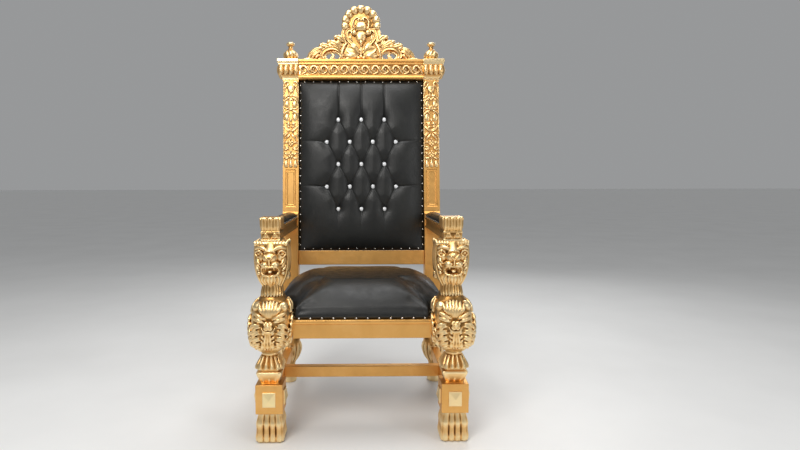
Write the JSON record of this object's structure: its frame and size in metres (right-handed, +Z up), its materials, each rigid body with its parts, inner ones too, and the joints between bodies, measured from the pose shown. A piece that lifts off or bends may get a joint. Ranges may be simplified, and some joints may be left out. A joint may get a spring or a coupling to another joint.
{
  "type": "carved throne chair",
  "caption": "Tall gilded throne with a leaning deep-buttoned leather back, a pierced crest, padded arms and front legs carved as lions' heads over studded blocks and paws.",
  "frame": {"origin": "on the floor under the middle of the chair's width and depth", "axes": "+Z up, -Y the way a sitter faces, +X the sitter's left hand"},
  "size_m": [0.843, 0.8502, 1.8297],
  "materials": {
    "gold": "carved wood under burnished gold leaf",
    "leather": "black grained leather, half gloss",
    "crystal": "clear faceted crystal"
  },
  "bodies": {
    "root": {"arm_pad_left": "leather", "arm_pad_right": "leather", "arm_rail_left": "gold", "arm_rail_right": "gold", "back_board": "leather", "back_pad": "leather", "back_post_left": "gold", "back_post_right": "gold", "back_rail": "gold", "button_01": "crystal", "button_02": "crystal", "button_03": "crystal", "button_04": "crystal", "button_05": "crystal", "button_06": "crystal", "button_07": "crystal", "button_08": "crystal", "button_09": "crystal", "button_10": "crystal", "button_11": "crystal", "button_12": "crystal", "button_13": "crystal", "button_14": "crystal", "button_15": "crystal", "button_16": "crystal", "button_17": "crystal", "cornice": "gold", "crest": "gold", "cross_stretcher": "gold", "finial_left": "gold", "finial_right": "gold", "front_leg_left": "gold", "front_leg_right": "gold", "front_rail": "gold", "rear_rail": "gold", "seat_cushion": "leather", "side_rail_left": "gold", "side_rail_right": "gold", "side_stretcher_left": "gold", "side_stretcher_right": "gold"}
  },
  "joints": []
}
